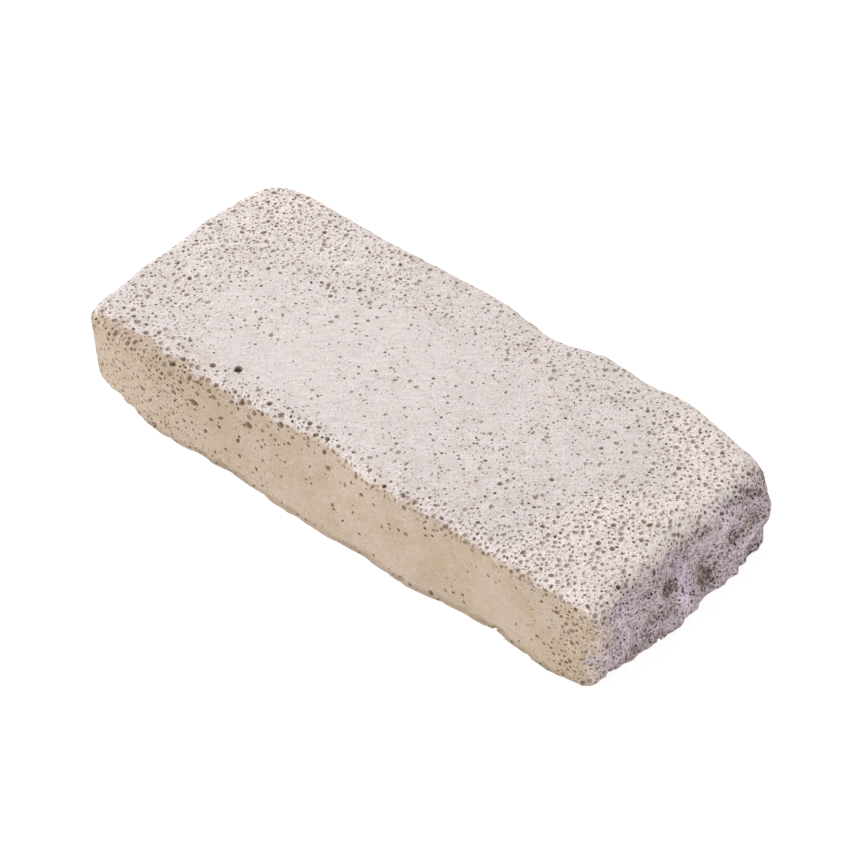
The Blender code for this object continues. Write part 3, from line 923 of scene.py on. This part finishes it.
def pumice_material(colours):
    """Dry pumice, a frothed volcanic glass: matt and chalky, because its skin is all broken bubble walls."""
    material = bpy.data.materials.new("dry pumice")
    material.use_nodes = True
    material.node_tree.nodes.clear()
    add = functools.partial(add_node, material.node_tree)
    MATH, RANGE, MIX, NOISE, MAPPING = (
        "ShaderNode" + kind for kind in ("Math", "MapRange", "Mix", "TexNoise", "Mapping")
    )
    named = {name: (*getattr(colours, name), 1.0) for name in type(colours).__annotations__}
    zone = {name: add("ShaderNodeAttribute", (), "Fac", attribute_name=name) for name in MARKS}
    place = add("ShaderNodeTexCoord", (), "Object")
    place = add(MAPPING, {"Vector": place, "Scale": (1 / MM, 1 / MM, 1 / MM)})

    # Noises, by their size in millimetres. Rubbing drew the streaks out along the turn of the hand.
    cloud = add(NOISE, {"Vector": place, "Scale": 1 / CLOUD, "Detail": 4.0, "Roughness": 0.6})
    fine = add(NOISE, {"Vector": place, "Scale": 1 / LUMP, "Detail": 3.0, "Roughness": 0.6})
    grit = add(NOISE, {"Vector": place, "Scale": 1 / GRIT, "Detail": 3.0, "Roughness": 0.7})
    rub = {"Vector": place, "Rotation": (0.0, 0.0, RUB_TURN), "Scale": (STREAK_LENGTH, 1.0, 1.0)}
    rub = add(MAPPING, rub, vector_type="TEXTURE")
    streak = add(NOISE, {"Vector": rub, "Scale": 1 / STREAK, "Detail": 2.0, "Roughness": 0.5})
    fibres = add(
        NOISE,
        {"Vector": place, "Scale": 1 / FIBRE, "Detail": 4.0, "Roughness": 0.75, "Offset": 1.0, "Gain": 1.0},
        noise_type="RIDGED_MULTIFRACTAL",
    )
    jitter = add(NOISE, {"Vector": place, "Scale": 1 / WARP, "Detail": 1.0}, "Color")
    warped = add("ShaderNodeVectorMath", (jitter, (0.5, 0.5, 0.0), place), operation="MULTIPLY_ADD")

    def bubbles(size, smallest, largest, amount):
        """Open bubbles, 1 in the middle and 0 at the edge, each of its own radius and tone, some left out."""
        reading = {"Vector": warped, "Scale": 1.0 / size}
        distance = add("ShaderNodeTexVoronoi", reading)
        pick = add("ShaderNodeSeparateColor", (add("ShaderNodeTexVoronoi", reading, "Color"),)).node.outputs
        radius = add(RANGE, (pick[0], 0.0, 1.0, smallest / size, largest / size))
        share = add(MATH, (distance, radius), operation="DIVIDE")
        share = add(MATH, (1.0, share), operation="SUBTRACT", use_clamp=True)
        there = add(MATH, (pick[2], amount), operation="LESS_THAN")
        return add(MATH, (share, there), operation="MULTIPLY"), pick[1]

    # Skin: sandy where sawn, pale where rubbed, and the edge between them ragged.
    mixed = add(MATH, (1.0, zone["rubbed"]), operation="SUBTRACT")
    mixed = add(MATH, (zone["rubbed"], mixed), operation="MULTIPLY")
    ragged = add(NOISE, {"Vector": place, "Scale": 1 / RAG, "Detail": 3.0})
    ragged = add(RANGE, (ragged, 0.0, 1.0, -2.0, 2.0))
    edge = add(MATH, (ragged, mixed, zone["rubbed"]), operation="MULTIPLY_ADD")
    # The froth between bubbles is paler: partly its own dust, partly painted highlight on the crests.
    pale = add(MIX, {0: zone["cream_and_highlight"], 6: named["rubbed"], 7: named["cream_and_highlight"]}, 2, data_type="RGBA")
    for seed, name, least, most in ((3.0, "sand", 0.50, 0.64), (11.0, "lichen", 0.52, 0.66)):
        patch = {"Vector": place, "W": seed, "Scale": 1 / PATCH, "Detail": 3.0}
        patch = add(NOISE, patch, noise_dimensions="4D")
        patch = add(RANGE, (patch, least, most), interpolation_type="SMOOTHSTEP")
        patch = add(MATH, (patch, add(RANGE, (zone["porous"], 0.0, 0.6, 0.05, 0.38))), operation="MULTIPLY")
        patch = add(MATH, (patch, add(RANGE, (zone["froth"], 0.2, 0.9, 1.0, 0.2))), operation="MULTIPLY")
        pale = add(MIX, {0: patch, 6: pale, 7: named[name]}, 2, data_type="RGBA")
    sawn = named["sawn"]
    for name, end, most in (("ochre", 0.62, 0.7), ("blush", 0.38, 0.6)):
        clouds = add(RANGE, (cloud, 0.50, end, 0.0, most))
        sawn = add(MIX, {0: clouds, 6: sawn, 7: named[name]}, 2, data_type="RGBA")
    blush = add(RANGE, (edge, 0.15, 0.5), interpolation_type="SMOOTHSTEP")
    skin = add(MIX, {0: blush, 6: sawn, 7: named["blush"]}, 2, data_type="RGBA")
    edge = add(RANGE, (edge, 0.35, 0.95), interpolation_type="SMOOTHSTEP")
    skin = add(MIX, {0: edge, 6: skin, 7: pale}, 2, data_type="RGBA")

    # The break: lilac glass on its crests, tan rust in some hollows, and a fibrous grain. Its hollows and the
    # low parts of its grain are painted purple grey as painted shade, darkest in the deepest hollows.
    clean = add(RANGE, (zone["stain"], 0.1, 0.9), interpolation_type="SMOOTHSTEP")
    rusty = add(RANGE, (zone["stain"], -0.1, -0.9), interpolation_type="SMOOTHSTEP")
    glass = add(MIX, {0: clean, 6: named["broken"], 7: named["lilac"]}, 2, data_type="RGBA")
    glass = add(MIX, {0: rusty, 6: glass, 7: named["tan"]}, 2, data_type="RGBA")
    painted_hollow_shade = add(MATH, (zone["hollow"], -0.8, fibres), operation="MULTIPLY_ADD")
    painted_hollow_shade = add(RANGE, (painted_hollow_shade, 1.1, 0.0, 0.0, 0.9), interpolation_type="SMOOTHSTEP")
    painted_hollow_shade = add(MATH, (painted_hollow_shade, add(RANGE, (clean, 0.0, 1.0, 1.0, 0.3))), operation="MULTIPLY")
    glass = add(MIX, {0: painted_hollow_shade, 6: glass, 7: named["hollow"]}, 2, data_type="RGBA")
    painted_hollow_shade = add(MATH, (painted_hollow_shade, add(RANGE, (zone["hollow"], 0.55, 1.0, 0.0, 0.65))), operation="MULTIPLY")
    glass = add(MIX, {0: painted_hollow_shade, 6: glass, 7: named["plum"]}, 2, data_type="RGBA")
    mixed = add(MATH, (1.0, zone["broken"]), operation="SUBTRACT")
    mixed = add(MATH, (mixed, zone["broken"]), operation="MULTIPLY")
    fresh = add(RANGE, (fibres, 0.0, 2.0, -0.8, 0.8))
    fresh = add(MATH, (fresh, mixed, zone["broken"]), operation="MULTIPLY_ADD")
    fresh = add(RANGE, (fresh, 0.05, 0.95), interpolation_type="SMOOTHSTEP")
    skin = add(MIX, {0: fresh, 6: skin, 7: glass}, 2, data_type="RGBA")

    # Grain in the tone: faint where rubbed, strong in the froth and on the break. The grit, the fine lumps
    # and the rubbed streaks are painted darker where the bump makes them low, as painted shade in their small
    # hollows; the clouds are tone alone.
    coarse = add(MATH, (zone["froth"], 0.06, 0.08), operation="MULTIPLY_ADD")
    coarse = add(MATH, (zone["broken"], 0.14, coarse), operation="MULTIPLY_ADD")
    shade = add(MATH, (add(RANGE, (grit, 0.40, 0.60, -1.0, 1.0)), coarse), operation="MULTIPLY")
    shade = add(MATH, (add(RANGE, (cloud, 0.3, 0.7, -0.03, 0.03)), shade), operation="ADD")
    shade = add(MATH, (add(RANGE, (fine, 0.3, 0.7, -0.05, 0.05)), shade), operation="ADD")
    streaks = add(RANGE, (streak, 0.38, 0.62, -0.05, 0.05))
    shade = add(MATH, (streaks, zone["rubbed"], shade), operation="MULTIPLY_ADD")
    skin = add("ShaderNodeHueSaturation", {"Color": skin, "Value": add(MATH, (1.0, shade), operation="ADD")})

    # Painted shade darkens the foot, most at the bottom.
    foot = add(MATH, (zone["foot"], 0.65), operation="MULTIPLY")
    skin = add(MIX, {0: foot, 6: skin, 7: named["umber"]}, 2, data_type="RGBA")

    # Pores take their colour from the face they open on: clay where sawn. Their bottoms are painted shade:
    # umber on the sawn sides, dark brown on the top, plum grey on the break.
    wall = add(MIX, {0: zone["rubbed"], 6: named["clay"], 7: named["wall"]}, 2, data_type="RGBA")
    deep = add(MATH, (zone["rubbed"], zone["broken"]), operation="ADD", use_clamp=True)
    deep = add(MIX, {0: deep, 6: named["umber"], 7: named["deep"]}, 2, data_type="RGBA")
    deep = add(MIX, {0: zone["broken"], 6: deep, 7: named["plum"]}, 2, data_type="RGBA")

    # Bubbles too small to be cut: froth a millimetre across, and specks of half that and less. Each is
    # painted darker in its middle, as painted shade in its hollow; the odd froth bubble has a rusty floor.
    dishes, tone = bubbles(1.10, 0.30, 0.75, add(MATH, (zone["froth"], 0.15), operation="ADD"))
    dishes = add(MATH, (dishes, add(RANGE, (zone["froth"], 0.0, 1.0, 0.35, 1.0))), operation="MULTIPLY")
    floor = add(MIX, {0: add(RANGE, (tone, 0.85, 0.95)), 6: wall, 7: named["rust"]}, 2, data_type="RGBA")
    skin = add(MIX, {0: add(RANGE, (dishes, 0.0, 1.0, 0.0, 0.55)), 6: skin, 7: floor}, 2, data_type="RGBA")
    specks, tone = bubbles(0.85, 0.02, 0.28, add(MATH, (zone["porous"], 0.04), operation="ADD"))
    floor = add(MIX, {0: add(RANGE, (tone, 0.5, 0.9)), 6: wall, 7: deep}, 2, data_type="RGBA")
    skin = add(MIX, {0: add(RANGE, (specks, 0.0, 0.5, 0.0, 0.8)), 6: skin, 7: floor}, 2, data_type="RGBA")
    dots, tone = bubbles(0.48, 0.02, 0.18, add(MATH, (zone["porous"], 0.15), operation="ADD"))
    skin = add(MIX, {0: add(RANGE, (dots, 0.0, 0.5, 0.0, 0.6)), 6: skin, 7: wall}, 2, data_type="RGBA")

    # Painted shade in the pores: walls darken with depth, sooner where a pore is marked for more shade and on
    # the break, whose pore floors take the broken hollow's painted shade. The odd pore has a rusty or an
    # olive floor.
    rusty = add(RANGE, (zone["pore_tone"], 0.88, 0.93))
    mossy = add(RANGE, (zone["pore_tone"], 0.94, 0.97))
    floor = add(MIX, {0: rusty, 6: wall, 7: named["rust"]}, 2, data_type="RGBA")
    floor = add(MIX, {0: mossy, 6: floor, 7: named["moss"]}, 2, data_type="RGBA")
    floor = add(MIX, {0: zone["broken"], 6: floor, 7: named["hollow"]}, 2, data_type="RGBA")
    sunk = add(RANGE, (zone["broken"], 0.0, 1.0, 0.40, 0.90))
    sunk = add(MATH, (zone["pore_dark"], sunk, zone["pore_depth"]), operation="MULTIPLY_ADD")
    sunk = add(RANGE, (sunk, 0.45, 1.05), interpolation_type="SMOOTHSTEP")
    floor = add(MIX, {0: sunk, 6: floor, 7: deep}, 2, data_type="RGBA")
    # Inside a pore the skin gives way to the wall colour: partly the walls' own warmer tone, partly painted
    # shade.
    opened = add(RANGE, (zone["pore_depth"], 0.03, 0.26), interpolation_type="SMOOTHSTEP")
    base = add(MIX, {0: opened, 6: skin, 7: floor}, 2, data_type="RGBA")

    # Height in millimetres: grit and fine lumps stand up, streaks are rubbed in, and bubbles are hollows.
    height = add(MATH, (grit, 0.35), operation="MULTIPLY")
    height = add(MATH, (fine, 0.16, height), operation="MULTIPLY_ADD")
    streaks = add(RANGE, (streak, 0.0, 1.0, 0.0, 0.16))
    height = add(MATH, (streaks, zone["rubbed"], height), operation="MULTIPLY_ADD")
    fibres = add(RANGE, (fibres, 0.0, 2.0, 0.0, 0.32))
    height = add(MATH, (fibres, zone["broken"], height), operation="MULTIPLY_ADD")
    height = add(MATH, (dishes, -0.30, height), operation="MULTIPLY_ADD")
    height = add(MATH, (specks, -0.30, height), operation="MULTIPLY_ADD")
    height = add(MATH, (dots, -0.15, height), operation="MULTIPLY_ADD")
    bump = add("ShaderNodeBump", {"Strength": 1.0, "Distance": MM, "Height": height})

    skin = add(
        "ShaderNodeBsdfPrincipled",
        {"Base Color": base, "Roughness": 0.95, "IOR": 1.5, "Specular IOR Level": 0.25, "Normal": bump},
    )
    add("ShaderNodeOutputMaterial", {"Surface": skin}, None).is_active_output = True
    return material


class PUMICE_OT_stone(bpy.types.Operator):
    """Make the pumice slab: its worn skin, its pores and its material"""

    bl_idname = "pumice.stone"
    bl_label = "Make the stone"
    bl_options = {"REGISTER", "UNDO"}

    def execute(self, context):
        sizes = context.scene.pumice_sizes
        skin, quads = slab_skin(sizes)
        stone = new_object(SKIN_NAME, skin * MM, quads)
        pores = scatter_pores(skin, quads, sizes)
        random = np.random.default_rng(sizes.seed + 1)
        cut_pores(stone, pores, random)
        finish_skin(stone, skin, quads, pores, random)
        stone.data.materials.clear()
        stone.data.materials.append(pumice_material(context.scene.pumice_colours))
        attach(stone, BODY)
        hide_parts(NODE)
        return {"FINISHED"}


# The stage, in metres: a flat floor that sweeps up far behind the stone.
FLOOR_FLAT = 2.6
SWEEP_RADIUS = 0.8
CAMERA_TURN = math.radians(41.1)
CAMERA_RISE = math.radians(42.1)
CAMERA_DISTANCE = 0.6192
CAMERA_TARGET = (0.00583, -0.00186, 0.01215)
CAMERA_LENS = 116.13
FLOOR_SIDES = 96
FLOOR_DROP = 0.00005
PAPER_GLOW = 0.76
SKY_GLOW = 0.56
LAMP_PLACE = (-0.75, -0.10, 0.85)
LAMP_SIZE = 0.7
LAMP_POWER = 8.3


class PUMICE_OT_stage(bpy.types.Operator):
    """Make the pale floor, the soft lights and the camera"""

    bl_idname = "pumice.stage"
    bl_label = "Make the stage"
    bl_options = {"REGISTER", "UNDO"}

    def execute(self, context):
        scene = context.scene
        # The floor is a profile turned about Z: flat, then a quarter circle upwards.
        bend = np.linspace(0.0, math.pi / 2, 17)
        reach = np.concatenate([[0.0, 0.3, 1.0], FLOOR_FLAT + SWEEP_RADIUS * np.sin(bend)])
        rise = np.concatenate([[0.0, 0.0, 0.0], SWEEP_RADIUS * (1 - np.cos(bend))])
        turn = np.arange(FLOOR_SIDES) * 2 * math.pi / FLOOR_SIDES
        ring = np.stack([np.cos(turn), np.sin(turn), np.ones(FLOOR_SIDES)])
        points = np.stack([reach, reach, rise], axis=1)[:, None] * ring.T[None]
        points = points.reshape(-1, 3)
        points[:, 2] -= FLOOR_DROP
        at = np.arange(len(points)).reshape(-1, FLOOR_SIDES)
        nxt = np.roll(at, -1, axis=1)
        quads = np.stack([at[:-1], at[1:], nxt[1:], nxt[:-1]], axis=-1).reshape(-1, 4)
        floor = new_object("floor", points, quads)
        tidy = bmesh.new()
        tidy.from_mesh(floor.data)
        bmesh.ops.remove_doubles(tidy, verts=tidy.verts, dist=1e-6)
        tidy.to_mesh(floor.data)
        tidy.free()
        floor.data.shade_smooth()
        paper = bpy.data.materials.new("matt white paper")
        paper.use_nodes = True
        shader = paper.node_tree.nodes["Principled BSDF"]
        looks = {"Base Color": (0.5, 0.5, 0.5, 1.0), "Roughness": 1.0, "Specular IOR Level": 0.0}
        looks.update({"Emission Color": (1.0, 1.0, 1.0, 1.0), "Emission Strength": PAPER_GLOW})
        for name, value in looks.items():
            shader.inputs[name].default_value = value
        floor.data.materials.append(paper)

        world = bpy.data.worlds.new("soft room")
        world.use_nodes = True
        sky = world.node_tree.nodes["Background"]
        sky.inputs["Color"].default_value = (1.0, 1.0, 1.0, 1.0)
        sky.inputs["Strength"].default_value = SKY_GLOW
        scene.world = world

        lamp = bpy.data.lights.new("soft box", "AREA")
        lamp.shape = "SQUARE"
        lamp.size = LAMP_SIZE
        lamp.energy = LAMP_POWER
        box = bpy.data.objects.new("soft box", lamp)
        box.location = Vector(LAMP_PLACE)
        box.rotation_euler = (Vector((0, 0, 0)) - box.location).to_track_quat("-Z", "Y").to_euler()
        scene.collection.objects.link(box)

        camera = bpy.data.cameras.new("camera")
        camera.lens = CAMERA_LENS
        camera.sensor_width = 36.0
        eye = bpy.data.objects.new("camera", camera)
        level = math.cos(CAMERA_RISE)
        away = (math.sin(CAMERA_TURN) * level, -math.cos(CAMERA_TURN) * level, math.sin(CAMERA_RISE))
        eye.location = Vector(CAMERA_TARGET) + Vector(away) * CAMERA_DISTANCE
        eye.rotation_euler = (math.pi / 2 - CAMERA_RISE, 0.0, CAMERA_TURN)
        scene.collection.objects.link(eye)
        scene.camera = eye
        scene.view_settings.view_transform = "Standard"
        return {"FINISHED"}


class PUMICE_PT_panel(bpy.types.Panel):
    """Lists the stone's sizes and colours, and makes it"""

    bl_idname = "PUMICE_PT_panel"
    bl_label = "Pumice stone"
    bl_space_type = "VIEW_3D"
    bl_region_type = "UI"
    bl_category = "Pumice"

    def draw(self, context):
        for group in (context.scene.pumice_sizes, context.scene.pumice_colours):
            for name in group.__annotations__:
                self.layout.prop(group, name)
        self.layout.operator(PUMICE_OT_stone.bl_idname)
        self.layout.operator(PUMICE_OT_stage.bl_idname)


CLASSES = (PumiceSizes, PumiceColours, PUMICE_OT_stone, PUMICE_OT_stage, PUMICE_PT_panel)


def register():
    for each in CLASSES:
        bpy.utils.register_class(each)
    bpy.types.Scene.pumice_sizes = PointerProperty(type=PumiceSizes)
    bpy.types.Scene.pumice_colours = PointerProperty(type=PumiceColours)


def unregister():
    del bpy.types.Scene.pumice_colours
    del bpy.types.Scene.pumice_sizes
    for each in reversed(CLASSES):
        bpy.utils.unregister_class(each)


def main():
    register()
    bpy.ops.pumice.stone()
    bpy.ops.pumice.stage()


if __name__ == "__main__":
    main()
